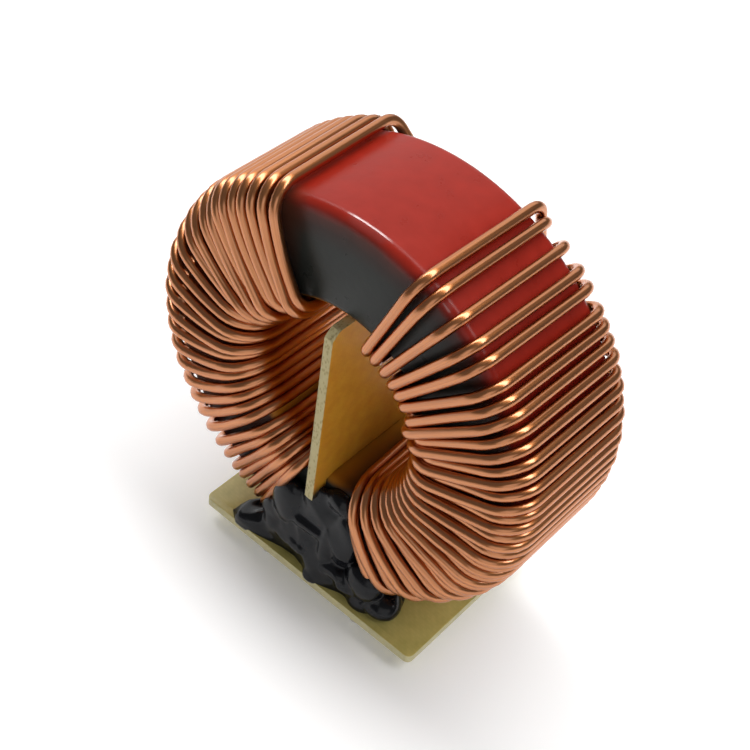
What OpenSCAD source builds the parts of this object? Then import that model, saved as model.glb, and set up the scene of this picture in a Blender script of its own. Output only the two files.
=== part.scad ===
// Toroidal common-mode inductor: a coated ring core standing on edge on a small board,
// with two separate windings, a divider board between them and a glue fillet at the foot.
// Z is up, the ring's axis lies along Y and the open front looks towards -Y.
// The origin is the middle of the base board's underside.

/* [Core] */
// Outer diameter of the coated ring
core_od = 60; // [56:1:70]
// Bore of the coated ring
core_id = 30; // [28:1:34]
// Length of the ring along its axis
core_h = 20; // [16:1:26]
// Rounding of the ring's four edges
core_edge_r = 1.5; // [0.5:0.1:2]

/* [Windings] */
// Diameter of the enamelled wire
wire_d = 1.45; // [1.1:0.05:1.5]
// Clearance of the wire outside the ring
wire_gap = 0.5; // [0.3:0.1:1.5]
// Clearance of the wire on the faces of the ring
face_gap = 1.2; // [0.8:0.1:1.5]
// Clearance of the wire in the bore
bore_gap = 0.15; // [0.1:0.05:1]
// Bend radius at the ring's outer edges
outer_bend = 3.8; // [2.4:0.1:4]
// Length of the bend at the ring's bore edges
inner_bend = 2; // [1.4:0.1:2.1]
// Turns on the right side
right_turns = 35; // [10:1:35]
// Turns on the left side
left_turns = 30; // [10:1:30]
// Height of the crossing turns over their neighbours, right side
right_lift = 1.6; // [1.55:0.05:2]
// Height of the crossing turns over their neighbours, left side
left_lift = 1.4; // [1.35:0.05:1.6]
// Radius at which the right side's crossing turns have reached their full height
right_knee = 23; // [21:0.5:25]
// Radius at which the left side's crossing turns have most of their height
left_knee = 18.5; // [18:0.5:21]
// Advance of a turn along the outside, in degrees
advance = 1.3; // [0:0.1:2]

/* [Leads] */
// Diameter of the tinned ends
lead_d = 1.6; // [1.2:0.05:1.7]
// Length of the leads below the base board
lead_out = 2.5; // [2:0.5:6]
// Lead spacing across the front
lead_pitch_x = 17.5; // [14:0.5:20]
// Lead spacing from front to back
lead_pitch_y = 24; // [22:0.5:25]
// Clearance between the rising leads and the turns behind the ring
lead_gap = 0.1; // [0.05:0.05:1]
// Bend radius of the lower leads into the base board
foot_bend = 1.5; // [1:0.1:1.6]

/* [Base plate] */
// Width of the base board
plate_x = 40; // [34:1:60]
// Depth of the base board
plate_y = 28.1; // [27:0.1:40]
// Thickness of the base board
plate_t = 1.5; // [1:0.1:3.2]
// Corner radius of the base board
plate_r = 1; // [0.3:0.1:4]
// Diameter of the lead holes
hole_d = 1.9; // [1.75:0.05:2.3]
// Clear height between the ring and the base board
plate_gap = 2.25; // [2:0.05:5]
// Offset of the ring from the middle of the base board
ring_x = -1.77; // [-4:0.01:4]

/* [Separator board] */
// Thickness of the divider
board_t = 1.4; // [0.8:0.1:2]
// Offset of the divider from the ring's centre
board_x = -0.3; // [-1:0.1:1]
// Fit of the divider in the bottom of the bore
board_gap = 0.1; // [0.05:0.05:0.5]
// Clearance of the divider under the top of the bore
board_slack = 0.7; // [0.1:0.1:1.5]
// Reach of the divider beyond the ring's faces
board_reach = 2.7; // [1.5:0.1:3]
// Depth of the foot that hangs in front of the ring
foot_drop = 2.9; // [1:0.1:6]
// Chipped corner at the top of the front edge
corner_cut = 1.1; // [0.2:0.1:3]

/* [Adhesive] */
// Spread of the glue on the base board, as a share of its usual outline
glue_spread = 1; // [0.9:0.01:1.02]
// Depth of the glue in the bore
glue_pool = 0.7; // [0.3:0.1:1.2]
// Clearance between the glue and the turns
glue_gap = 0.06; // [0.02:0.01:0.5]

/* [Hidden] */

core_r = core_od / 2;
bore_r = core_id / 2;
half_h = core_h / 2;
ring_z = plate_t + plate_gap + core_r;        // height of the ring's centre
wire_r = wire_d / 2;
pass_r = core_r + wire_gap + wire_r;          // centre line of the outer passes
inner_r = bore_r - bore_gap - wire_r;         // centre line of the bore passes
pass_y = half_h + face_gap + wire_r;          // centre line of the face passes
lead_y = lead_pitch_y / 2;
rise_y = pass_y + right_lift + wire_r + lead_d / 2 + lead_gap;
lead_right = lead_pitch_x / 2 - ring_x;       // leads seen from the ring's centre
lead_left = -lead_pitch_x / 2 - ring_x;
plate_top = plate_t - ring_z;                 // seen from the ring's centre
lead_tip = -lead_out - ring_z;
lead_lap = 0.3;                               // length of wire inside a tinned end
sides = 8;                                    // facets round the wire
cut = 1;                                      // overrun of a cutting body

// Where a turn lies round the ring: outside, and in the bore (turn, degrees).
right_out = [[1, 70], [4, 52.6], [6, 42.6], [8, 35.5], [28, -32.4], [36, -70.3]];
right_in = [[1, 72], [3, 57.6], [7, 32.3], [8, 24], [12, 4.7], [14, -3.7], [34, -71.5]];
left_out = [[1, 112], [6, 132.3], [8, 139.5], [11, 156.5], [21, 220], [24, 232], [30, 253.5],
            [31, 257.1]];
left_in = [[1, 116.5], [5, 137], [11, 166.8], [13, 179], [22, 225.5], [30, 257.5]];
// The first turn of the right side that is crossed by its neighbour.
paired_from = 8;
// Share of the height that the left side's crossing turns have at their knee.
left_share = 0.8;

// ---------- wire ----------

function unit(v) = v / norm(v);
function blend(a, b, t) = a + (b - a) * t;

// A point at radius r and angle a round the ring's axis.
function at(r, a, y) = [r * cos(a), y, r * sin(a)];

// A point on the way from p to q seen along the ring's axis, at depth y.
function on_face(p, q, t, y) = let (m = blend(p, q, t)) [m[0], y, m[2]];

// Even turns ride over their neighbours.
function lift_of(k, first, lift) = k >= first && k % 2 == 0 ? lift : 0;

// In the bore, the right side's turns lie in pairs, one over the other.
function bore_turn(k, paired) = paired && k >= paired_from ? 2 * floor(k / 2) : k;

// Corner points of a winding as [point, bend, rings - 1]. way is +1 for turns that run
// clockwise seen from the front and -1 for the others; knee is the radius and the share of
// its height at which a crossing turn bends on the ring's face.
function corners(n, way, out_at, in_at, first, lift, paired, knee, lead_x, bottom_x) =
    let (end = way > 0 ? -acos(bottom_x / pass_r) : 360 - acos(bottom_x / pass_r))
    concat(
        [[[lead_x, lead_y, -ring_z - lead_lap], 0, 0],
         [[lead_x, lead_y, plate_top + 0.5], 0, 0],
         [[lead_x, rise_y, plate_top + 7], 2, 1],
         [[lead_x, rise_y, 0.62 * core_r], 3, 1]],
        [for (k = [1:n])
            let (up = lift_of(k, first, lift), bend = inner_bend + 0.55 * up,
                 a = lookup(k, out_at), b = lookup(bore_turn(k, paired), in_at),
                 back = k == n ? end - way * advance : lookup(k + 1, out_at) - way * advance,
                 front_in = at(inner_r - up, b, -pass_y - up),
                 back_in = at(inner_r - up, b, pass_y + up),
                 knee_y = pass_y + knee[1] * up,
                 f = (pass_r - knee[0]) / (pass_r - inner_r + up))
            each concat(
                [[at(pass_r, a - way * advance, pass_y), outer_bend, 2],
                 [at(pass_r, a, -pass_y), outer_bend, 2]],
                up > 0 ? [[on_face(at(pass_r, a, 0), front_in, f, -knee_y), 0, 0]] : [],
                [[front_in, bend, 1], [back_in, bend, 1]],
                up > 0 ? [[on_face(at(pass_r, back, 0), back_in, f, knee_y), 0, 0]] : [])],
        [[at(pass_r, end - way * advance, pass_y), outer_bend, 2],
         [at(pass_r, end, -lead_y), foot_bend, 2],
         [[bottom_x, -lead_y, -ring_z - lead_lap], 0, 0]]);

// Points of one bend at q between p and n: two for a short bend, an arc for a round one.
function bend_points(p, q, n, bend, steps) =
    let (u = unit(p - q), v = unit(n - q), half = acos(max(-1, min(1, u * v))) / 2,
         most = 0.45 * min(norm(p - q), norm(n - q)))
    steps == 0 ? [q]
    : steps == 1 ? [q + u * min(bend, most), q + v * min(bend, most)]
    : let (t = min(bend / tan(half), most), r = t * tan(half),
           o = q + unit(u + v) * r / sin(half), a = q + u * t - o, b = q + v * t - o,
           turn = acos(max(-1, min(1, a * b / (r * r)))))
      [for (i = [0:steps]) o + (a * sin(turn * (1 - i / steps)) + b * sin(turn * i / steps)) / sin(turn)];

// The centre line of a list of corners.
function centre_line(c) =
    [for (i = [0:len(c) - 1])
        each (i == 0 || i == len(c) - 1) ? [c[i][0]]
            : bend_points(c[i - 1][0], c[i][0], c[i + 1][0], c[i][1], c[i][2])];

// One ring of wire surface round point i of a centre line, mitred into the bend.
function wire_ring(line, i) =
    let (p = line[i], last = len(line) - 1,
         before = unit(i > 0 ? p - line[i - 1] : line[1] - p),
         after = unit(i < last ? line[i + 1] - p : p - line[i - 1]),
         n = unit(before + after), round = unit([-p[2], 0, p[0]]),
         u = unit(round - n * (round * n)), v = cross(n, u), stretch = 1 / max(0.7, n * after))
    [for (j = [0:sides - 1]) let (a = 360 * (j + 0.5) / sides)
        p + wire_r * (u * cos(a) + v * sin(a) * stretch)];

// A wire along a centre line, closed at both ends.
module wire(line) {
    rings = [for (i = [0:len(line) - 1]) wire_ring(line, i)];
    last = len(line) - 1;
    polyhedron(
        points = [for (r = rings) each r],
        faces = concat(
            [[for (j = [0:sides - 1]) j]],
            [for (i = [0:last - 1], j = [0:sides - 1], h = [0, 1])
                let (a = i * sides + j, b = i * sides + (j + 1) % sides)
                h == 0 ? [a, a + sides, b] : [b, a + sides, b + sides]],
            [[for (j = [0:sides - 1]) last * sides + sides - 1 - j]]));
}

// Tinned end of a lead, from its tip to the underside of the base board.
module lead_pin(x, y) {
    translate([x, y, lead_tip]) cylinder(d = lead_d, h = lead_out, $fn = 32);
}

module winding_left() {
    color([0.72, 0.45, 0.28]) translate([ring_x, 0, ring_z]) {
        wire(centre_line(corners(left_turns, -1, left_out, left_in, 2, left_lift, false,
                                 [left_knee, left_share], lead_left, lead_left)));
        lead_pin(lead_left, -lead_y);
        lead_pin(lead_left, lead_y);
    }
}

module winding_right() {
    color([0.72, 0.45, 0.28]) translate([ring_x, 0, ring_z]) {
        wire(centre_line(corners(right_turns, 1, right_out, right_in, paired_from, right_lift,
                                 true, [right_knee, 1], lead_right, lead_right)));
        lead_pin(lead_right, -lead_y);
        lead_pin(lead_right, lead_y);
    }
}

// ---------- ring, boards and glue ----------

// A rectangle with round corners, its middle at the origin.
module round_rect(x, y, r) {
    square([x - 2 * r, y], center = true);
    square([x, y - 2 * r], center = true);
    for (i = [-1, 1], j = [-1, 1])
        translate([i * (x / 2 - r), j * (y / 2 - r)]) circle(r, $fn = 48);
}

// The ring about the origin, its axis along Y.
module ring() {
    rotate([90, 0, 0]) rotate_extrude($fn = 180)
        translate([(core_r + bore_r) / 2, 0]) round_rect(core_r - bore_r, core_h, core_edge_r);
}

module core() {
    color([0.62, 0.22, 0.18]) translate([ring_x, 0, ring_z]) ring();
}

// Side view of the divider: y to the right, z up, seen from the ring's centre.
module divider_outline() {
    front = -half_h - board_reach;
    low = -sqrt(pow(bore_r - board_gap, 2) - pow(abs(board_x) + board_t / 2, 2));
    top = sqrt(pow(bore_r - board_slack, 2) - pow(abs(board_x) + board_t / 2, 2));
    polygon([[front, low - foot_drop], [-half_h - board_gap, low - foot_drop],
             [-half_h - board_gap, low - 0.3 * core_edge_r], [-half_h + core_edge_r, low],
             [-front, low], [-front, top],
             [front + corner_cut, top], [front, top - corner_cut]]);
}

module divider() {
    translate([board_x - board_t / 2, 0, 0]) rotate([90, 0, 90])
        linear_extrude(board_t) divider_outline();
}

module separator_board() {
    color([0.70, 0.52, 0.16]) translate([ring_x, 0, ring_z]) divider();
}

module base_plate() {
    color([0.58, 0.56, 0.34]) difference() {
        linear_extrude(plate_t) round_rect(plate_x, plate_y, plate_r);
        for (i = [-1, 1], j = [-1, 1])
            translate([i * lead_pitch_x / 2, j * lead_y, -cut])
                cylinder(d = hole_d, h = plate_t + 2 * cut, $fn = 32);
    }
}

// Reach of the glue on the base board round its middle (direction in degrees, reach).
glue_edge = [[0, 14.2], [30, 12.5], [60, 10], [90, 9.5], [120, 10.5], [160, 12], [204, 13],
             [213, 16.4], [225, 15.3], [240, 12.6], [246, 10], [270, 9.4], [287, 10.9],
             [300, 10.2], [318, 12.8], [336, 16.4], [345, 15.6], [360, 14.2]];
glue_mid = [0.5, 6 - half_h];
// Rise of the glue up the ring: height as a share of the way to the bore, how far it has
// drawn in to the foot of the divider (0 to 1), half width and half depth there.
glue_rise = [[0, 0, 4, 3], [0.04, 0, 4, 3], [0.09, 0.1, 4, 3], [0.14, 0.35, 5, 3],
             [0.23, 0.75, 5.5, 2.8], [0.4, 1, 4.8, 2.6], [0.64, 1, 3.7, 2.3], [0.87, 1, 2.9, 2.1],
             [1.03, 1, 1.9, 1.7]];
glue_height = plate_gap + core_r - bore_r;
glue_steps = 40;

function glue_point(level, j) =
    let (a = 360 * j / glue_steps, reach = glue_spread * lookup(a, glue_edge),
         low = glue_mid + reach * [cos(a), sin(a)],
         high = [board_x + 0.6, -half_h - 1] + [level[2] * cos(a), level[3] * sin(a)])
    concat(blend(low, high, level[1]), [plate_top + level[0] * glue_height]);

module glue_body() {
    n = glue_steps;
    last = len(glue_rise) - 1;
    polyhedron(
        points = [for (level = glue_rise, j = [0:n - 1]) glue_point(level, j)],
        faces = concat(
            [[for (j = [0:n - 1]) j]],
            [for (i = [0:last - 1], j = [0:n - 1], h = [0, 1])
                let (a = i * n + j, b = i * n + (j + 1) % n)
                h == 0 ? [a, a + n, b] : [b, a + n, b + n]],
            [[for (j = [0:n - 1]) last * n + n - 1 - j]]));
}

// The room the turns take up, from angle a over a sweep round the ring.
module turns_room(a, sweep, lift) {
    low = inner_r - lift - wire_r - glue_gap;
    high = pass_r + wire_r + glue_gap;
    reach = pass_y + wire_r + glue_gap;
    rotate([90, 0, 0]) rotate([0, 0, a]) rotate_extrude(angle = sweep, $fn = 120)
        polygon([[low, -reach - lift], [right_knee + 1, -reach - lift], [high - 3, -reach],
                 [high, -reach], [high, reach], [high - 3, reach],
                 [right_knee + 1, reach + lift], [low, reach + lift]]);
}

// A shallow pool of glue in the bottom of the bore.
module bore_pool() {
    front = half_h + 1.2;
    length = 0.7 * core_h + 1.2;
    intersection() {
        translate([0, length - front, 0]) rotate([90, 0, 0])
            cylinder(r = bore_r, h = length, $fn = 120);
        translate([-bore_r, -core_h, -bore_r]) cube([core_id, 2 * core_h, glue_pool]);
    }
}

module adhesive() {
    half_wire = wire_r + glue_gap;
    left_end = max(left_in[len(left_in) - 1][1] + asin(half_wire / (inner_r - left_lift)),
                   360 - acos(lead_left / pass_r) + advance + asin(half_wire / pass_r));
    right_end = max(-right_in[len(right_in) - 1][1] + asin(half_wire / (inner_r - right_lift)),
                    acos(lead_right / pass_r) + advance + asin(half_wire / pass_r));
    color([0.09, 0.09, 0.10]) translate([ring_x, 0, ring_z]) difference() {
        union() {
            glue_body();
            bore_pool();
        }
        ring();
        divider();
        turns_room(180, left_end - 180, left_lift);
        turns_room(-right_end, right_end, right_lift);
        for (x = [lead_left, lead_right], y = [-lead_y, lead_y])
            translate([x, y, plate_top - cut])
                cylinder(d = lead_d + 2 * glue_gap, h = 8, $fn = 32);
    }
}

core();
winding_left();
winding_right();
separator_board();
base_plate();
adhesive();
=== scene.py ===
import math

import bmesh
import bpy
import numpy as np
from mathutils import Matrix, Vector, noise


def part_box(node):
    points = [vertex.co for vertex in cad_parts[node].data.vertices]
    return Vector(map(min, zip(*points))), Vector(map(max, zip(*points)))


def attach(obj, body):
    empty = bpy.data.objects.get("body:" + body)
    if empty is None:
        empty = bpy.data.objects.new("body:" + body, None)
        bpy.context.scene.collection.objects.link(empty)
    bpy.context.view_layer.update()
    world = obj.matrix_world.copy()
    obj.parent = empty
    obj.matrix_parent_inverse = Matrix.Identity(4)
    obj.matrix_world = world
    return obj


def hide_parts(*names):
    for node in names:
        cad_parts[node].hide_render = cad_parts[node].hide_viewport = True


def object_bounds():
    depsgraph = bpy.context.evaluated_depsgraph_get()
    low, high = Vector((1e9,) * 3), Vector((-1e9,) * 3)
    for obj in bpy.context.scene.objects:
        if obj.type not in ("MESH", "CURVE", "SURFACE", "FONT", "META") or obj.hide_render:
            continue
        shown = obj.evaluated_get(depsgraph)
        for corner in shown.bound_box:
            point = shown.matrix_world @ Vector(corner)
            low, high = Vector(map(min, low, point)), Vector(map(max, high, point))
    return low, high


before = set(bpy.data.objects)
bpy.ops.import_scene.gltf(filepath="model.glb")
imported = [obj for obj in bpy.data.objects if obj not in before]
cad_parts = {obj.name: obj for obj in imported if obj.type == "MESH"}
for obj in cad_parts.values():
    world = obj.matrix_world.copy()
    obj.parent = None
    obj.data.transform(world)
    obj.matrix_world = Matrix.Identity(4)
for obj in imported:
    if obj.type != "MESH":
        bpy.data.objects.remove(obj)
cad_box = [list(corner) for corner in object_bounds()]
MM = 0.001

# ---------- Camera ----------
# It stands above the right front of the inductor and looks down on it from about 46 degrees,
# turned a little about its own axis, as somebody leaning over a bench would see it.
core_low, core_high = (Vector(corner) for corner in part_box("core"))
ring_middle = (core_low + core_high) / 2
aim = ring_middle + Vector((4.38, 0, -2.29)) * MM
camera_distance = 195.3 * MM
azimuth, elevation, roll = math.radians(32.52), math.radians(46.21), math.radians(10.82)
sensor_width = 36
picture_pixels = 750
focal_pixels = 1458.7
optical_centre = (407.63, 394.29)

camera_back = Vector((math.sin(azimuth) * math.cos(elevation),
                      -math.cos(azimuth) * math.cos(elevation),
                      math.sin(elevation)))
flat_right = Vector((0, 0, 1)).cross(camera_back).normalized()
flat_up = camera_back.cross(flat_right)
camera_right = math.cos(roll) * flat_right + math.sin(roll) * flat_up
camera_up = -math.sin(roll) * flat_right + math.cos(roll) * flat_up

camera_data = bpy.data.cameras.new("camera")
camera_data.sensor_width = sensor_width
camera_data.lens = sensor_width * focal_pixels / picture_pixels
camera_data.shift_x = (picture_pixels / 2 - optical_centre[0]) / picture_pixels
camera_data.shift_y = (optical_centre[1] - picture_pixels / 2) / picture_pixels
camera_data.clip_start = 10 * MM
camera = bpy.data.objects.new("camera", camera_data)
bpy.context.scene.collection.objects.link(camera)
turned = Matrix((camera_right, camera_up, camera_back)).transposed()
camera.matrix_world = Matrix.Translation(aim + camera_back * camera_distance) @ turned.to_4x4()
bpy.context.scene.camera = camera

# ---------- Core ----------
# A ring pressed from magnetic powder and dipped in red epoxy. The coat is thick and glossy,
# draws back from the edges, and thins out to a grey skin on the two faces.
core_radius = (core_high.x - core_low.x) / 2
core_half = (core_high.y - core_low.y) / 2
bore_radius = core_radius / 2
edge_radius = 1.5 * MM
quarter_steps = 8
core_steps = 240


def feed(tree, node, inputs):
    """Gives a node its inputs, by name or number: a plain value, or the output of another node."""
    for name, value in inputs.items():
        if isinstance(value, bpy.types.NodeSocket):
            tree.links.new(value, node.inputs[name])
        else:
            node.inputs[name].default_value = value


def add_node(tree, kind, inputs=None, **settings):
    """A new node with these settings and inputs."""
    node = tree.nodes.new(kind)
    for name, value in settings.items():
        setattr(node, name, value)
    feed(tree, node, inputs or {})
    return node


def number_from(tree, operation, *values, **settings):
    """The number that a Math node makes of these values."""
    node = add_node(tree, "ShaderNodeMath", dict(enumerate(values)), operation=operation, **settings)
    return node.outputs[0]


def vector_from(tree, operation, inputs):
    """The vector that a Vector Math node makes of these inputs."""
    return add_node(tree, "ShaderNodeVectorMath", inputs, operation=operation).outputs[0]


def spread(tree, value, start, end, low=0, high=1, **settings):
    """A value that runs from low to high while another runs from start to end, and stays there."""
    inputs = {"Value": value, "From Min": start, "From Max": end, "To Min": low, "To Max": high}
    return add_node(tree, "ShaderNodeMapRange", inputs, **settings).outputs[0]


def cloud_at(tree, place, scale, detail=2):
    """Soft noise at a place, with this many lumps to the metre."""
    inputs = {"Vector": place, "Scale": scale, "Detail": detail}
    return add_node(tree, "ShaderNodeTexNoise", inputs).outputs["Fac"]


def colour_ramp(tree, value, *stops):
    """A colour that changes with a value, through stops of (value, red, green, blue)."""
    node = add_node(tree, "ShaderNodeValToRGB", {0: value})
    elements = node.color_ramp.elements
    for element, (position, *colour) in zip(elements, (stops[0], stops[-1])):
        element.position, element.color = position, (*colour, 1)
    for position, *colour in stops[1:-1]:
        elements.new(position).color = (*colour, 1)
    return node.outputs["Color"]


def mixed(tree, share, first, second):
    """A colour between two others: the first where the share is 0, the second where it is 1."""
    inputs = {"Factor": share, "A": first, "B": second}
    return add_node(tree, "ShaderNodeMix", inputs, data_type="RGBA").outputs["Result"]


def bump(tree, height, strength, distance):
    """A normal that follows a height."""
    inputs = {"Height": height, "Strength": strength, "Distance": distance}
    return add_node(tree, "ShaderNodeBump", inputs).outputs[0]


def object_place(tree):
    """The place of a point on its piece."""
    return add_node(tree, "ShaderNodeTexCoord").outputs["Object"]


def plain_material(name, **values):
    """A new material whose shader has these plain values. Returns it with its nodes and its shader."""
    material = bpy.data.materials.new(name)
    material.use_nodes = True
    shader = material.node_tree.nodes["Principled BSDF"]
    for socket, value in values.items():
        shader.inputs[socket.replace("_", " ")].default_value = value
    return material, material.node_tree, shader


def red_epoxy():
    """The coat: glossy red round the outside and bare grey on the faces, with brown in between; painted shade
    on the left front, and the bore amber by the divider.
    """
    material, tree, shader = plain_material("red_epoxy_coat", Specular_IOR_Level=0.16,
                                            Coat_Roughness=0.08, Coat_IOR=2.2)
    place = object_place(tree)
    from_middle = vector_from(tree, "SUBTRACT", {0: place, 1: ring_middle})
    split = add_node(tree, "ShaderNodeSeparateXYZ", {0: from_middle}).outputs
    flat = vector_from(tree, "MULTIPLY", {0: from_middle, 1: (1, 0, 1)})
    radius = add_node(tree, "ShaderNodeVectorMath", {0: flat}, operation="LENGTH").outputs["Value"]
    depth = number_from(tree, "ABSOLUTE", split["Y"])

    # how far in from the outer edge the face lies: 1 on the bare face, 0 on the red rim
    uneven_radius = number_from(tree, "MULTIPLY_ADD", cloud_at(tree, place, 160, 3), 1.6 * MM, radius)
    inward = spread(tree, uneven_radius, core_radius + 1.0 * MM, core_radius - 5.2 * MM)
    on_face = spread(tree, depth, core_half - 1.3 * MM, core_half - 0.2 * MM)
    bare = number_from(tree, "MULTIPLY", inward, on_face)
    coat_colour = colour_ramp(tree, bare, (0, 0.305, 0.018, 0.009), (0.12, 0.24, 0.019, 0.012),
                              (0.30, 0.075, 0.018, 0.012), (0.55, 0.034, 0.016, 0.012),
                              (0.85, 0.024, 0.024, 0.021), (1, 0.024, 0.026, 0.023))
    mottle = cloud_at(tree, place, 420, 5)
    tone = spread(tree, mottle, 0, 1, 0.8, 1.15)
    tinted = vector_from(tree, "SCALE", {0: coat_colour, "Scale": tone})

    # painted shade: the front face on the left, down to the loosest turn, is painted dark red-brown where the
    # red coat lies in the wires' shadow, and is duller there
    on_left = spread(tree, split["X"], -8 * MM, -13 * MM)
    above_gap = spread(tree, split["Z"], -18.5 * MM, -15.5 * MM)
    at_front = spread(tree, split["Y"], 3 * MM - core_half, 1 * MM - core_half)
    painted_shade_left = number_from(tree, "MULTIPLY", number_from(tree, "MULTIPLY", on_left, above_gap), at_front)
    left_coat_with_painted_shade = mixed(tree, painted_shade_left, tinted, (0.085, 0.026, 0.012, 1))

    # the bore's surface is amber up to the sheet and turns almost black within a few millimetres to the right
    # of it
    near_sheet = spread(tree, split["X"], 4.6 * MM, 0.2 * MM, interpolation_type="SMOOTHSTEP")
    bore_amber_to_black = mixed(tree, near_sheet, (0.05, 0.014, 0.006, 1), (0.42, 0.17, 0.016, 1))
    in_bore = spread(tree, radius, bore_radius + 1.0 * MM, bore_radius + 0.3 * MM)

    # one stretch of the front edge, and two drops lower down, dried to a mirror
    mirror = 0.0
    for spot, size in (((0.7, -9.8, 29.8), 3.8), ((10.6, -9.6, 27.4), 0.9), ((13.3, -9.6, 26.1), 1.0)):
        centre = [value * MM for value in spot]
        away = add_node(tree, "ShaderNodeVectorMath", {0: from_middle, 1: centre}, operation="DISTANCE")
        wet = spread(tree, away.outputs["Value"], size * MM, 0.6 * size * MM, 0, 0.9)
        mirror = number_from(tree, "MAXIMUM", mirror, wet)
    at_edge = spread(tree, depth, core_half - 1.35 * MM, core_half - 1.0 * MM)
    wet_edge = number_from(tree, "MULTIPLY", mirror, at_edge)

    peel = bump(tree, cloud_at(tree, place, 900), 0.35, 0.06 * MM)
    gloss = spread(tree, mottle, 0, 1, 0.22, 0.38)
    feed(tree, shader, {"Base Color": mixed(tree, in_bore, left_coat_with_painted_shade, bore_amber_to_black),
                        "Roughness": number_from(tree, "MULTIPLY_ADD", painted_shade_left, 0.45, gloss),
                        "Coat Weight": number_from(tree, "MULTIPLY_ADD", bare, -6, wet_edge, use_clamp=True),
                        "Normal": peel, "Coat Normal": peel})
    return material


def arc(x, y, radius, start, sweep, steps):
    """The points of an arc round (x, y), from a start angle on, in degrees: one more than its steps."""
    angles = [math.radians(start + sweep * i / steps) for i in range(steps + 1)]
    return [(x + radius * math.cos(a), y + radius * math.sin(a)) for a in angles]


def lathe_ring(profile, steps):
    """A closed ring round the Y axis through the ring's middle, from a closed outline of (radius, y)."""
    mesh = bmesh.new()
    rows = []
    for i in range(steps):
        angle = 2 * math.pi * i / steps
        rows.append([mesh.verts.new((ring_middle.x + r * math.cos(angle), ring_middle.y + y,
                                     ring_middle.z + r * math.sin(angle))) for r, y in profile])
    for i in range(steps):
        here, after = rows[i], rows[(i + 1) % steps]
        for j in range(len(profile)):
            k = (j + 1) % len(profile)
            mesh.faces.new((here[j], after[j], after[k], here[k]))
    bmesh.ops.recalc_face_normals(mesh, faces=mesh.faces)
    return mesh


def smooth_object(name, mesh, material, angle=None):
    """An object from a bmesh, shaded smooth but for edges sharper than the angle, with one material."""
    data = bpy.data.meshes.new(name)
    mesh.to_mesh(data)
    mesh.free()
    piece = bpy.data.objects.new(name, data)
    bpy.context.scene.collection.objects.link(piece)
    data.materials.append(material)
    data.shade_smooth()
    if angle:
        data.set_sharp_from_angle(angle=math.radians(angle))
    return piece


core_outline = []
for centre_r, centre_y, start in ((core_radius - edge_radius, core_half - edge_radius, 0),
                                  (bore_radius + edge_radius, core_half - edge_radius, 90),
                                  (bore_radius + edge_radius, edge_radius - core_half, 180),
                                  (core_radius - edge_radius, edge_radius - core_half, 270)):
    core_outline += arc(centre_r, centre_y, edge_radius, start, 90, quarter_steps)
core_piece = smooth_object("core_ring", lathe_ring(core_outline, core_steps), red_epoxy())
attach(core_piece, "root")
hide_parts("core")

# ---------- Windings ----------
# Each side is one length of 1.45 mm enamelled copper wire, wound on by hand and pulled tight.
# In the bore there isn't room for all turns side by side, so every other turn climbs over its
# neighbour. The ends are stripped, tinned and brought down through the base board.
wire = 1.45 * MM
enamel_film = 0.025 * MM
outer_gap = 0.5 * MM
bore_gap = 0.15 * MM
face_gap = 1.2 * MM
rise_gap = 2.37 * MM
pass_radius = core_radius + outer_gap + wire / 2
inner_radius = bore_radius - bore_gap - wire / 2
pass_depth = core_half + face_gap + wire / 2
rise_depth = pass_depth + rise_gap + wire / 2
# the leads stand evenly round the middle of the board, which is to the right of the ring's middle
lead_spread = 8.75 * MM
lead_depth = 12 * MM
ring_offset = 1.77 * MM
tip_gap = 0.06 * MM
# degrees by which a turn moves on behind the ring, and by which a hand misses its place
advance = 1.3
hand_error = 0.2
# the middle of a pass over a face: its share of the way in, and its bend
face_share = 0.46
face_bend = 30 * MM
bend_steps = 7
wire_sides = 16


def at(radius, angle, y):
    """A point round the ring, seen from its middle; the angle in degrees from the right side."""
    a = math.radians(angle)
    return np.array([radius * math.cos(a), y, radius * math.sin(a)])


def keyed(number, keys):
    """The value for a number, between the keys (number, value)."""
    return float(np.interp(number, [k[0] for k in keys], [k[1] for k in keys]))


def face_middle(outside, inside, climb, bow):
    """The middle of a face pass: a wide bend, bowed sideways, part of the way up to the bore."""
    point = outside + (inside - outside) * face_share
    point[1] = outside[1] + (inside[1] - outside[1]) * climb
    side = np.array([-point[2], 0, point[0]]) / np.linalg.norm(point)
    return point + side * bow, face_bend


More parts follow.
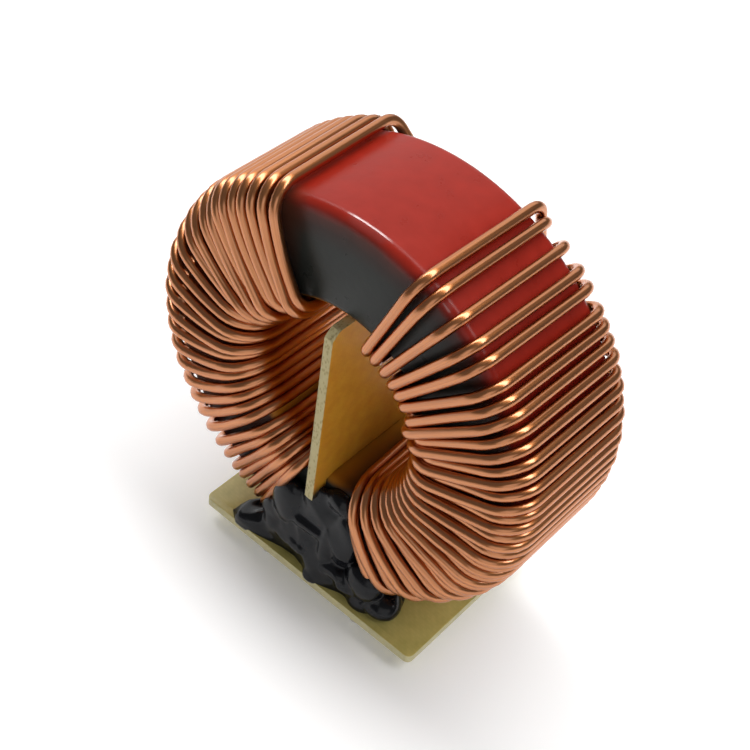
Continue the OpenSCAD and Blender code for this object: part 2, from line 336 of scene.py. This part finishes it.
def winding_corners(turns, way, lead_x, climb, seed, keys):
    """The corners of one winding as (point, bend radius), from the rising lead to the last one.

    The keys give what changes from turn to turn: in degrees the angles outside and in the bore and
    the skew of the bore's back end, and in millimetres the bow of the front passes, how far a turn
    is pulled in and pressed to the front face, and its bends.
    """
    rng = np.random.default_rng(seed)
    start = math.degrees(math.acos(lead_x / pass_radius))
    end = -start if way > 0 else 360 - start
    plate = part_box("base_plate")[1][2] - ring_middle.z
    tip = cad_box[0][2] + tip_gap - ring_middle.z
    # the rising lead: the depth, height and bend of its corners
    rise = ((lead_depth, tip, 0), (lead_depth, plate - 1.5 * MM, 0), (lead_depth, plate + 1.2 * MM, 4 * MM),
            (rise_depth, plate + 7 * MM, 6 * MM), (rise_depth, 0.62 * core_radius, 14 * MM))
    corners = [(np.array([lead_x, y, z]), bend) for y, z, bend in rise]
    corners.append((at(pass_radius, keyed(1, keys["outside"]) - way * advance, pass_depth - 1 * MM), 3 * MM))
    for k in range(1, turns + 1):
        now = {name: keyed(k, pairs) for name, pairs in keys.items()}
        outside = now["outside"] + rng.uniform(-hand_error, hand_error)
        bore = now["bore"] + rng.uniform(-hand_error, hand_error)
        # every other turn rides up in the bore as far as the room beside its neighbour is too small
        share = math.radians(abs(keyed(k + 0.5, keys["bore"]) - keyed(k - 0.5, keys["bore"])))
        room = share * inner_radius
        up = math.sqrt(max(0, wire ** 2 - room ** 2)) if k % 2 == 0 else 0
        back = (end if k == turns else keyed(k + 1, keys["outside"])) - way * advance
        radius = pass_radius - now["pulled in"] * MM
        bore_bend = now["bore bend"] * MM
        bow = (now["bow"] + rng.uniform(-0.1, 0.1)) * MM
        front_out = at(radius, outside, now["pressed"] * MM - pass_depth)
        front_in = at(inner_radius - up, bore, -pass_depth - up)
        back_in = at(inner_radius - up, bore + now["skew"], pass_depth + up)
        back_out = at(radius, back, pass_depth - 0.7 * MM)
        corners += [(front_out, now["outer bend"] * MM), face_middle(front_out, front_in, climb, bow),
                    (front_in, bore_bend), (back_in, bore_bend),
                    face_middle(back_out, back_in, climb, 0), (back_out, 3.3 * MM)]
    corners.append((at(pass_radius, end, -lead_depth), 1.9 * MM))
    corners += [(np.array([lead_x, -lead_depth, z]), 0) for z in (plate - 1.5 * MM, tip)]
    return corners


def wire_tree():
    """Geometry nodes that round the corners of a bent wire and give it its thickness."""
    tree = bpy.data.node_groups.new("bent_wire", "GeometryNodeTree")
    tree.interface.new_socket("Corners", in_out="INPUT", socket_type="NodeSocketGeometry")
    for name, kind, value in (("Wire Diameter", "NodeSocketFloat", wire),
                              ("Steps in a Bend", "NodeSocketInt", bend_steps),
                              ("Sides", "NodeSocketInt", wire_sides),
                              ("Hand Waver", "NodeSocketFloat", 0.1 * MM),
                              ("Tinned Below", "NodeSocketFloat", 0.0),
                              ("Tinned Thickness", "NodeSocketFloat", 1.1)):
        tree.interface.new_socket(name, in_out="INPUT", socket_type=kind).default_value = value
    tree.interface.new_socket("Enamel", in_out="INPUT", socket_type="NodeSocketMaterial")
    tree.interface.new_socket("Wire", in_out="OUTPUT", socket_type="NodeSocketGeometry")
    given, made = add_node(tree, "NodeGroupInput").outputs, add_node(tree, "NodeGroupOutput")

    path = add_node(tree, "GeometryNodeMeshToCurve", {"Mesh": given["Corners"]}).outputs["Curve"]
    bend = add_node(tree, "GeometryNodeInputNamedAttribute", {"Name": "bend"}, data_type="FLOAT")
    rounded = add_node(tree, "GeometryNodeFilletCurve",
                       {"Curve": path, "Count": given["Steps in a Bend"], "Radius": bend.outputs["Attribute"],
                        "Limit Radius": True}, mode="POLY").outputs["Curve"]
    # the wire is never quite straight
    waver = add_node(tree, "ShaderNodeTexNoise", {"Scale": 130, "Detail": 1}).outputs["Color"]
    centred = vector_from(tree, "SUBTRACT", {0: waver, 1: (0.5, 0.5, 0.5)})
    offset = vector_from(tree, "SCALE", {0: centred, "Scale": given["Hand Waver"]})
    moved = add_node(tree, "GeometryNodeSetPosition", {"Geometry": rounded, "Offset": offset})

    length = add_node(tree, "GeometryNodeSplineParameter").outputs["Length"]
    along = add_node(tree, "GeometryNodeCaptureAttribute")
    along.capture_items.new("FLOAT", "Along")
    feed(tree, along, {"Geometry": moved.outputs["Geometry"], "Along": length})
    circle = add_node(tree, "GeometryNodeCurvePrimitiveCircle", {"Resolution": given["Sides"], "Radius": 1})
    here = add_node(tree, "GeometryNodeInputPosition").outputs[0]
    around = add_node(tree, "GeometryNodeCaptureAttribute")
    around.capture_items.new("VECTOR", "Around")
    feed(tree, around, {"Geometry": circle.outputs["Curve"], "Around": here})
    half = number_from(tree, "MULTIPLY", given["Wire Diameter"], 0.5)
    size = add_node(tree, "ShaderNodeCombineXYZ", {"X": half, "Y": half, "Z": half}).outputs[0]
    section = add_node(tree, "GeometryNodeTransform", {"Geometry": around.outputs["Geometry"], "Scale": size})

    # solder thickens the ends
    height = add_node(tree, "ShaderNodeSeparateXYZ", {0: here}).outputs["Z"]
    below = add_node(tree, "FunctionNodeCompare", {"A": height, "B": given["Tinned Below"]},
                     data_type="FLOAT", operation="LESS_THAN").outputs["Result"]
    thickness = add_node(tree, "GeometryNodeSwitch",
                         {"Switch": below, "False": 1, "True": given["Tinned Thickness"]},
                         input_type="FLOAT").outputs["Output"]
    skin = add_node(tree, "GeometryNodeCurveToMesh",
                    {"Curve": along.outputs["Geometry"], "Profile Curve": section.outputs["Geometry"],
                     "Scale": thickness, "Fill Caps": True}).outputs["Mesh"]
    across = add_node(tree, "ShaderNodeSeparateXYZ", {0: around.outputs["Around"]}).outputs
    thread = add_node(tree, "ShaderNodeCombineXYZ",
                      {"X": along.outputs["Along"], "Y": across["X"], "Z": across["Y"]}).outputs[0]
    kept = add_node(tree, "GeometryNodeStoreNamedAttribute", data_type="FLOAT_VECTOR")
    feed(tree, kept, {"Geometry": skin, "Name": "thread", "Value": thread})
    smooth = add_node(tree, "GeometryNodeSetShadeSmooth", {"Geometry": kept.outputs["Geometry"]})
    real = add_node(tree, "GeometryNodeRealizeInstances", {"Geometry": smooth.outputs["Geometry"]})
    painted = add_node(tree, "GeometryNodeSetMaterial",
                       {"Geometry": real.outputs["Geometry"], "Material": given["Enamel"]})
    feed(tree, made, {"Wire": painted.outputs["Geometry"]})
    return tree


def enamelled_copper():
    """Bright copper under a clear enamel, with drawn streaks along the wire and tinned ends."""
    material, tree, shader = plain_material("enamelled_copper", Metallic=1.0,
                                            Specular_Tint=(0.95, 0.55, 0.36, 1),
                                            Coat_Weight=0.8, Coat_Roughness=0.15, Coat_IOR=1.7)
    thread = add_node(tree, "ShaderNodeAttribute", attribute_name="thread").outputs["Vector"]
    streaks = cloud_at(tree, vector_from(tree, "MULTIPLY", {0: thread, 1: (60, 4, 4)}), 1, 4)
    copper = colour_ramp(tree, streaks, (0.30, 0.38, 0.125, 0.032), (0.72, 0.53, 0.190, 0.054))
    # the ends, from inside the holes of the base board down, are stripped and dipped in solder
    height = add_node(tree, "ShaderNodeSeparateXYZ", {0: object_place(tree)}).outputs["Z"]
    plate_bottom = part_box("base_plate")[0][2]
    dipped = spread(tree, height, plate_bottom + 0.5 * MM, plate_bottom + 0.2 * MM)
    feed(tree, shader, {"Base Color": mixed(tree, dipped, copper, (0.60, 0.60, 0.58, 1)),
                        "Roughness": spread(tree, streaks, 0, 1, 0.25, 0.33)})
    return material


enamel = enamelled_copper()
bent_wire = wire_tree()
sockets = {item.name: item.identifier for item in bent_wire.interface.items_tree
           if item.in_out == "INPUT"}
windings = {
    "winding_right": {
        "turns": 35, "way": 1, "lead_x": lead_spread + ring_offset, "climb": 0.7, "seed": 11,
        "keys": {"outside": ((1, 70.5), (2, 66.2), (3, 59.3), (4, 52.8), (5, 48.4), (6, 42.3), (8, 34.7),
                             (10, 26.3), (14, 10.8), (20, -9.7), (22, -15.4), (28, -34.2), (30, -41.9),
                             (36, -70.3)),
                 "bore": ((1, 71.5), (2, 65.3), (4, 51.5), (6, 39.5), (7, 31), (8, 25.5), (12, 6.5),
                          (14, -0.5), (28, -41), (36, -69)),
                 "skew": ((28, 0), (36, -10)), "bow": ((28, 0), (31, -0.8), (36, -1.1)),
                 "pulled in": ((1, 0.18),), "pressed": ((34, -0.2), (35, 0)),
                 "outer bend": ((7, 3.6), (8, 4.4)), "bore bend": ((7, 2.2), (12, 5.6))}},
    "winding_left": {
        "turns": 30, "way": -1, "lead_x": ring_offset - lead_spread, "climb": 0.25, "seed": 7,
        "keys": {"outside": ((1, 112.2), (3, 120.6), (8, 138.2), (9, 142), (11, 151.7), (12, 158.6),
                             (13, 165.7), (16, 184.4), (20, 208.6), (23, 224.6), (24, 230), (26, 238.3),
                             (30, 251), (31, 257.5)),
                 "bore": ((1, 113), (2, 117), (5, 134), (11, 156.8), (13, 168.5), (17, 187.8), (20, 204.2),
                          (23, 222.5), (24, 231.5), (30, 259)),
                 "skew": ((1, 0),), "bow": ((18, 1.3), (22, 0.6), (24, 0)),
                 "pulled in": ((9, -0.1), (13, 0.2)), "pressed": ((23, -0.2), (25, 0.7), (30, 0.9)),
                 "outer bend": ((7, 3.6), (8, 4.8), (23, 4.8), (25, 3.2), (30, 3.0)),
                 "bore bend": ((5, 3.0), (9, 4.0), (12, 5.5))}}}
for name, winding in windings.items():
    corners = winding_corners(**winding)
    line = bpy.data.meshes.new(name + "_line")
    line.from_pydata([tuple(np.array(ring_middle) + point) for point, _ in corners],
                     [(i, i + 1) for i in range(len(corners) - 1)], [])
    line.attributes.new("bend", "FLOAT", "POINT").data.foreach_set("value", [bend for _, bend in corners])
    former = bpy.data.objects.new(name + "_former", line)
    bpy.context.scene.collection.objects.link(former)
    modifier = former.modifiers.new("bent_wire", "NODES")
    modifier.node_group = bent_wire
    for socket, value in (("Wire Diameter", wire + 2 * enamel_film), ("Steps in a Bend", bend_steps),
                          ("Sides", wire_sides), ("Hand Waver", 0.15 * MM),
                          ("Tinned Below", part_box("base_plate")[0][2] - 0.1 * MM), ("Enamel", enamel)):
        modifier[sockets[socket]] = value
    shaped = former.evaluated_get(bpy.context.evaluated_depsgraph_get())
    wound = bpy.data.objects.new(name + "_wire", bpy.data.meshes.new_from_object(shaped))
    bpy.data.objects.remove(former)
    bpy.context.scene.collection.objects.link(wound)
    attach(wound, "root")
    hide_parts(name)

# ---------- Separator board ----------
# A divider cut with a saw from woven glass sheet in amber resin. It stands in the bore between
# the two windings. Its cut edges are pale, rough and full of fibre ends.
board_low, board_high = (Vector(corner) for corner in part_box("separator_board"))
board_middle = (board_low + board_high) / 2
board_half = (board_high.x - board_low.x) / 2
foot_back = ring_middle.y - core_half - 0.1 * MM
foot_top = board_low.z + 2.9 * MM
cut_off = 1.1 * MM
board_corners = [(board_low.y, board_low.z), (foot_back, board_low.z), (foot_back, foot_top - 0.45 * MM),
                 (foot_back + 1.6 * MM, foot_top), (board_high.y, foot_top), (board_high.y, board_high.z),
                 (board_low.y + cut_off, board_high.z), (board_low.y, board_high.z - cut_off)]
# rows of points across the edge: the place from face to face, and how far drawn in, in millimetres
edge_rows = ((-1, 0.10), (-0.9, 0), (-0.55, 0), (-0.2, 0), (0.2, 0), (0.55, 0), (0.9, 0), (1, 0.10))
edge_step = 0.22 * MM
# how deep the saw's marks are, and the chips at the cut corner, in millimetres
saw_marks = 0.035
chips = 0.10


def walk(points, step):
    """A closed line of points about one step apart through the given corners."""
    line = []
    for (y0, z0), (y1, z1) in zip(points, points[1:] + points[:1]):
        parts = max(1, round(math.dist((y0, z0), (y1, z1)) / step))
        line += [(y0 + (y1 - y0) * i / parts, z0 + (z1 - z0) * i / parts) for i in range(parts)]
    return line


def weave_group():
    """Shader nodes for woven glass cloth under resin: a height, and a tone that differs softly."""
    tree = bpy.data.node_groups.new("glass_weave", "ShaderNodeTree")
    for name, kind in (("Place", "NodeSocketVector"), ("Threads per Metre", "NodeSocketFloat")):
        tree.interface.new_socket(name, in_out="INPUT", socket_type=kind)
    for name in ("Height", "Tone"):
        tree.interface.new_socket(name, in_out="OUTPUT", socket_type="NodeSocketFloat")
    given, made = add_node(tree, "NodeGroupInput").outputs, add_node(tree, "NodeGroupOutput")
    threads = vector_from(tree, "SCALE", {0: given["Place"], "Scale": given["Threads per Metre"]})
    warp, weft = (add_node(tree, "ShaderNodeTexWave",
                           {"Vector": threads, "Scale": 0.32, "Distortion": 0.6, "Detail": 1},
                           bands_direction=direction).outputs["Fac"] for direction in ("DIAGONAL", "Y"))
    height = number_from(tree, "MULTIPLY", warp, weft)
    tone = number_from(tree, "MULTIPLY_ADD", height, 0.08, cloud_at(tree, threads, 0.22, 4))
    feed(tree, made, {"Height": height, "Tone": tone})
    return tree


def woven(tree, place, threads, depth, *stops):
    """The colour and the normal of woven cloth at a place; the stops give its colours over the tone."""
    weave = tree.nodes.new("ShaderNodeGroup")
    weave.node_tree = glass_weave
    feed(tree, weave, {"Place": place, "Threads per Metre": threads})
    return colour_ramp(tree, weave.outputs["Tone"], *stops), bump(tree, weave.outputs["Height"], 0.4, depth)


def amber_laminate():
    """The board's faces: amber resin over woven glass that light shines into, black at the foot with glue and
    painted shade.
    """
    material, tree, shader = plain_material("amber_laminate", Roughness=0.38,
                                            Coat_Weight=0.25, Coat_Roughness=0.2, Subsurface_Weight=0.35,
                                            Subsurface_Scale=3 * MM, Subsurface_Radius=(1, 0.5, 0.1))
    place = object_place(tree)
    colour, normal = woven(tree, place, 2600, 0.012 * MM, (0.3, 0.74, 0.34, 0.028), (0.8, 0.86, 0.47, 0.05))
    # the sheet goes almost black a few millimetres up from its foot: black glue has crept up there, and shade
    # is painted in with it
    height = add_node(tree, "ShaderNodeSeparateXYZ", {0: place}).outputs["Z"]
    uneven_height = number_from(tree, "MULTIPLY_ADD", cloud_at(tree, place, 260), 1.2 * MM, height)
    free_of_glue_and_shade = spread(tree, uneven_height, foot_top - 1.6 * MM, foot_top + 0.8 * MM, 0.02,
                   interpolation_type="SMOOTHSTEP")
    feed(tree, shader, {"Base Color": vector_from(tree, "SCALE", {0: colour, "Scale": free_of_glue_and_shade}),
                        "Normal": normal})
    return material


def sawn_glass_fibre():
    """The board's cut edge: pale, with the ends of the fibres standing out of the resin."""
    material, tree, shader = plain_material("sawn_glass_fibre", Roughness=0.8)
    drawn_out = vector_from(tree, "MULTIPLY", {0: object_place(tree), 1: (1, 0.7, 0.45)})
    fibres = add_node(tree, "ShaderNodeTexVoronoi", {"Vector": drawn_out, "Scale": 2600}).outputs["Distance"]
    pale = colour_ramp(tree, fibres, (0, 0.30, 0.22, 0.08), (0.45, 0.55, 0.47, 0.25))
    feed(tree, shader, {"Base Color": pale, "Normal": bump(tree, fibres, 0.8, 0.08 * MM)})
    return material


glass_weave = weave_group()
rng = np.random.default_rng(3)
edge_line = walk(board_corners, edge_step)
board_mesh = bmesh.new()
loops = []
for side, drawn_in in edge_rows:
    loop = []
    for y, z in edge_line:
        rough = 0 if drawn_in else abs(rng.normal(0, saw_marks)) * MM
        if z > board_high.z - cut_off - 0.2 * MM and y < board_low.y + cut_off + 0.4 * MM:
            rough = abs(rng.normal(0, chips)) * MM
        inwards = Vector((0, board_middle.y - y, board_middle.z - z)).normalized() * (drawn_in * MM + rough)
        loop.append(board_mesh.verts.new((board_middle.x + side * board_half, y + inwards.y, z + inwards.z)))
    loops.append(loop)
for loop, after in zip(loops, loops[1:]):
    for i in range(len(loop)):
        j = (i + 1) % len(loop)
        board_mesh.faces.new((loop[i], loop[j], after[j], after[i])).material_index = 1
for loop in (loops[0], loops[-1]):
    rim = [board_mesh.edges.get((loop[i], loop[(i + 1) % len(loop)])) for i in range(len(loop))]
    bmesh.ops.triangle_fill(board_mesh, use_beauty=True, edges=rim)
bmesh.ops.recalc_face_normals(board_mesh, faces=board_mesh.faces)

board_piece = smooth_object("divider_sheet", board_mesh, amber_laminate(), 40)
board_piece.data.materials.append(sawn_glass_fibre())
for face in board_piece.data.polygons:
    face.use_smooth = face.material_index == 1
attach(board_piece, "root")
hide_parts("separator_board")

# ---------- Base plate ----------
# A plate of green-brown glass laminate with four drilled holes, through which the leads come
# down. It is sawn to size, so its edges are matt and a little frayed.
plate_low, plate_high = (Vector(corner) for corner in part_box("base_plate"))
plate_middle = (plate_low + plate_high) / 2
half_x, half_y, half_z = (plate_high - plate_low) / 2
corner_radius = 1.0 * MM
hole_radius = 0.95 * MM
hole_steps = 40
broken_edge = 0.09 * MM


def olive_laminate():
    """The plate's faces: olive resin over woven glass. Its sawn edges are paler, dusty and dull."""
    material, tree, shader = plain_material("olive_laminate", Coat_Weight=0.3, Coat_Roughness=0.25)
    place = object_place(tree)
    colour, normal = woven(tree, place, 1700, 0.015 * MM, (0.3, 0.50, 0.43, 0.12), (0.8, 0.68, 0.57, 0.19))
    facing = add_node(tree, "ShaderNodeNewGeometry").outputs["True Normal"]
    upward = number_from(tree, "ABSOLUTE", add_node(tree, "ShaderNodeSeparateXYZ", {0: facing}).outputs["Z"])
    sawn = spread(tree, upward, 0.9, 0.3)
    frayed = number_from(tree, "MULTIPLY", sawn, cloud_at(tree, place, 2500, 3))
    feed(tree, shader, {"Base Color": mixed(tree, frayed, colour, (0.62, 0.58, 0.42, 1)),
                        "Roughness": spread(tree, frayed, 0, 1, 0.34, 0.85), "Normal": normal})
    return material


outline = []
for sign_x, sign_y, start in ((1, 1, 0), (-1, 1, 90), (-1, -1, 180), (1, -1, 270)):
    outline += arc(sign_x * (half_x - corner_radius), sign_y * (half_y - corner_radius), corner_radius,
                   start, 90, quarter_steps)
holes = [arc(x, y, hole_radius, 0, 360, hole_steps)[:-1] for x in (-lead_spread, lead_spread)
         for y in (-lead_depth, lead_depth)]
plate_line = bpy.data.curves.new("plate_outline", "CURVE")
plate_line.dimensions, plate_line.fill_mode = "2D", "BOTH"
for points in [outline] + holes:
    spline = plate_line.splines.new("POLY")
    spline.points.add(len(points) - 1)
    spline.use_cyclic_u = True
    for point, (x, y) in zip(spline.points, points):
        point.co = (x, y, 0, 1)
plate_line.extrude = half_z - broken_edge
plate_line.bevel_depth, plate_line.bevel_resolution, plate_line.offset = broken_edge, 2, -broken_edge
former = bpy.data.objects.new("plate_former", plate_line)
bpy.context.scene.collection.objects.link(former)
shaped = former.evaluated_get(bpy.context.evaluated_depsgraph_get())
plate_mesh = bmesh.new()
plate_mesh.from_mesh(bpy.data.meshes.new_from_object(shaped))
bpy.data.objects.remove(former)
bmesh.ops.remove_doubles(plate_mesh, verts=plate_mesh.verts, dist=0.001 * MM)
bmesh.ops.translate(plate_mesh, verts=plate_mesh.verts, vec=plate_middle)
bmesh.ops.recalc_face_normals(plate_mesh, faces=plate_mesh.faces)

plate_piece = smooth_object("base_board", plate_mesh, olive_laminate(), 40)
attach(plate_piece, "root")
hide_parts("base_plate")

# ---------- Adhesive ----------
# Black epoxy poured round the foot of the ring. It fixes the core, the divider and the last
# turns to the board, has sagged into smooth lobes while it set, and stayed glossy.
glue_steps = 120
glue_foot = (ring_middle.x + 0.5 * MM, ring_middle.y - core_half + 6 * MM)
glue_crest = (ring_middle.x + 0.3 * MM, ring_middle.y - core_half - 1 * MM)
glue_rise = bore_radius + 2.25 * MM
# how far the puddle reaches over the board from its foot point, in millimetres by the angle
glue_reach = ((0, 13.5), (30, 12.5), (60, 10), (90, 9.5), (120, 10.5), (160, 12), (200, 13.5), (210, 16.2),
              (216, 16.5), (220, 16.1), (225, 14.2), (230, 12.7), (236, 11.1), (244, 9.7), (257, 8.8),
              (270, 9.1), (280, 10.2), (288, 10.6), (297, 10.7), (308, 11.1), (317, 12.4), (322, 14.2),
              (329, 15.3), (336, 16.2), (342, 15.9), (347, 15), (352, 14), (360, 13.5))
# levels: share of the rise, share of the way from the foot to the crest, and the crest's half sizes in mm
glue_levels = ((-0.05, 0, 4, 3), (0.02, 0, 4, 3), (0.06, 0.03, 4, 3), (0.095, 0.12, 4, 3), (0.14, 0.35, 5, 3),
               (0.23, 0.75, 5.5, 2.8), (0.4, 1, 4.8, 2.0), (0.64, 1, 3.7, 1.5), (0.80, 1, 2.6, 1.0),
               (0.93, 1, 1.6, 0.6))
# what ran into the bore lies along its bottom as a shallow pool: its outline across (x, depth) and its ends
pool_outline = ((-4, 14.5), (-0.6, 14.5), (-0.6, 15.3), (-2, 16), (-4.4, 15.3))
pool_ends = (-10.6, 9.5)
# lobes: middle (from the ring's middle, height over the board) and half sizes, in millimetres
lobes = (((-11.2, -13, 0.2), (2.6, 0.8, 0.8)), ((-8.2, -12.3, 1.6), (2.6, 1.3, 1.3)),
         ((-6.4, -12.6, 3.6), (1.6, 1.2, 2.6)), ((-3.6, -12.7, 3.4), (2.8, 1.1, 0.9)),
         ((-0.6, -12.9, 3.9), (2.6, 1.1, 1.0)), ((2.6, -12.9, 2.2), (1.8, 1.2, 2.6)),
         ((5.6, -12.7, 3.6), (2.8, 1.1, 1.0)), ((8.4, -12.2, 2.6), (2.4, 1.5, 1.6)),
         ((10.6, -11.6, 4.6), (3.2, 1.9, 3.0)), ((13.6, -10.6, 1.6), (2.8, 2.6, 2.2)),
         ((0.6, -12.3, 8.6), (3.4, 1.2, 1.1)), ((3.6, -12.2, 6.6), (1.3, 1.3, 4.0)),
         ((-4.2, -11.6, 9.6), (2.7, 1.9, 4.4)), ((-6.6, -12, 5.4), (2.2, 1.4, 2.6)),
         ((5.6, -11.4, 9), (2.6, 1.5, 5)), ((2.4, -13.5, 0), (1.4, 1, 1)),
         ((3.6, -10.4, 15.2), (2.8, 1.5, 1.9)), ((3.4, -10.8, 11.6), (1.8, 1.3, 2.4)),
         ((10.6, -12.1, 0.4), (2.2, 1.4, 1.8)), ((0, 9, 1), (8, 4, 2.2)))
# the folds of its skin are drawn out along its flow, slow ones with fine ones on them
flow = Vector((0.55, 0, -0.83))
fold_height = 0.45 * MM
fold_length = 4.2 * MM
fine_fold_length = 1.6 * MM


def stitch(mesh, first, second):
    """Faces between two closed lines of as many points."""
    for i in range(len(first)):
        j = (i + 1) % len(first)
        mesh.faces.new((first[i], first[j], second[j], second[i]))


def black_epoxy():
    """Black and glossy, with a cloudy sheen and a fine ripple."""
    material, tree, shader = plain_material("black_epoxy", IOR=1.5, Specular_IOR_Level=0.22)
    cloud = cloud_at(tree, object_place(tree), 300, 4)
    black = colour_ramp(tree, cloud, (0, 0.002, 0.002, 0.003), (1, 0.010, 0.011, 0.014))
    feed(tree, shader, {"Base Color": black, "Roughness": spread(tree, cloud, 0, 1, 0.08, 0.30),
                        "Normal": bump(tree, cloud, 0.3, 0.1 * MM)})
    return material


def within(value):
    """The value, held between 0 and 1."""
    return min(1, max(0, value))


glue_mesh = bmesh.new()
rings = []
for share, drawn_in, wide, deep in glue_levels:
    ring = []
    for i in range(glue_steps):
        degrees = 360 / glue_steps * i
        east, north = math.cos(math.radians(degrees)), math.sin(math.radians(degrees))
        reach = keyed(degrees, glue_reach) * MM
        low = (glue_foot[0] + reach * east, glue_foot[1] + reach * north)
        high = (glue_crest[0] + wide * MM * east, glue_crest[1] + deep * MM * north)
        ring.append(glue_mesh.verts.new((low[0] + (high[0] - low[0]) * drawn_in,
                                         low[1] + (high[1] - low[1]) * drawn_in,
                                         plate_high.z + share * glue_rise)))
    rings.append(ring)
for ring, after in zip(rings, rings[1:]):
    stitch(glue_mesh, ring, after)
glue_mesh.faces.new(rings[0][::-1])
glue_mesh.faces.new(rings[-1])
pool = [[glue_mesh.verts.new((ring_middle.x + x * MM, ring_middle.y + y * MM, ring_middle.z - z * MM))
         for x, z in pool_outline] for y in pool_ends]
stitch(glue_mesh, *pool)
for end in pool:
    glue_mesh.faces.new(end)
for (x, y, z), sizes in lobes:
    spot = Matrix.Translation((ring_middle.x + x * MM, ring_middle.y + y * MM, plate_high.z + z * MM))
    stretch = Matrix.Diagonal((*[size * MM for size in sizes], 1))
    bmesh.ops.create_uvsphere(glue_mesh, u_segments=32, v_segments=16, radius=1, matrix=spot @ stretch)
bmesh.ops.recalc_face_normals(glue_mesh, faces=glue_mesh.faces)

glue_piece = smooth_object("black_adhesive", glue_mesh, black_epoxy())
merge = glue_piece.modifiers.new("merge", "REMESH")
merge.mode, merge.voxel_size, merge.use_smooth_shade = "VOXEL", 0.3 * MM, True
soften = glue_piece.modifiers.new("soften", "SMOOTH")
soften.factor, soften.iterations = 0.6, 8
shaped = glue_piece.evaluated_get(bpy.context.evaluated_depsgraph_get())
set_hard = bpy.data.meshes.new_from_object(shaped)
# the folds of the skin, none where it meets the board or lies in the bore
outward = [point.normal.copy() for point in set_hard.vertices]
for point, normal in zip(set_hard.vertices, outward):
    over_board = within((point.co.z - plate_high.z) / (1.2 * MM) - 0.2)
    below_bore = within((ring_middle.z - bore_radius - 0.2 * MM - point.co.z) / (1.5 * MM))
    drawn_out = point.co - flow * point.co.dot(flow) * 0.55
    fold = 0.5 - abs(noise.noise(drawn_out / fold_length)) * 2
    fold += noise.noise(drawn_out / fine_fold_length) * 0.08
    point.co += normal * (fold * fold_height * over_board * below_bore)
glue_piece.modifiers.clear()
glue_piece.data = set_hard
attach(glue_piece, "root")
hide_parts("adhesive")

# ---------- Floor and light ----------
# A white table under a long tube lamp, which hangs across it a little behind the inductor and
# draws the bright spots on the bends of the wire, with soft lamps at the back and the right.
table_half = 3
table_z = cad_box[0][2]
# name, direction from the ring, and in metres and watts the distance, length, width and power
lamps = (("tube", (0.0, 0.2, 0.97), 0.55, 1.4, 0.17, 5.3),
         ("backdrop", (-0.6, 0.62, 0.5), 0.9, 1.3, 0.8, 3.2),
         ("right", (0.55, -0.78, 0.35), 0.8, 0.6, 0.6, 1.0))


def white_table():
    """Matt white, lifted a little where it is seen or mirrored, so that this lights nothing."""
    material, tree, shader = plain_material("white_table", Base_Color=(0.95, 0.95, 0.95, 1), Roughness=0.7,
                                            Emission_Color=(1, 1, 1, 1))
    seen = add_node(tree, "ShaderNodeLightPath").outputs
    looked_at = number_from(tree, "MAXIMUM", seen["Is Camera Ray"], seen["Is Glossy Ray"])
    looked_at = number_from(tree, "MAXIMUM", looked_at, seen["Is Transmission Ray"])
    feed(tree, shader, {"Emission Strength": number_from(tree, "MULTIPLY", looked_at, 0.15)})
    return material


table_data = bpy.data.meshes.new("table_top")
table_data.from_pydata([(-table_half, -table_half, table_z), (table_half, -table_half, table_z),
                        (table_half, table_half, table_z), (-table_half, table_half, table_z)],
                       [], [(0, 1, 2, 3)])
table_data.materials.append(white_table())
table_piece = bpy.data.objects.new("table_top", table_data)
bpy.context.scene.collection.objects.link(table_piece)

for name, direction, distance, length, width, power in lamps:
    lamp_data = bpy.data.lights.new(name, "AREA")
    lamp_data.shape = "RECTANGLE"
    lamp_data.size, lamp_data.size_y = length, width
    lamp_data.energy = power
    lamp = bpy.data.objects.new(name, lamp_data)
    bpy.context.scene.collection.objects.link(lamp)
    away = Vector(direction).normalized()
    along_y = away.cross(Vector((1, 0, 0))).normalized()
    turned = Matrix((along_y.cross(away), along_y, away)).transposed()
    lamp.matrix_world = Matrix.Translation(ring_middle + away * distance) @ turned.to_4x4()

world = bpy.data.worlds.new("room")
world.use_nodes = True
background = world.node_tree.nodes["Background"]
background.inputs["Color"].default_value = (1, 1, 1, 1)
background.inputs["Strength"].default_value = 0.18
bpy.context.scene.world = world
bpy.context.scene.view_settings.view_transform = "Standard"
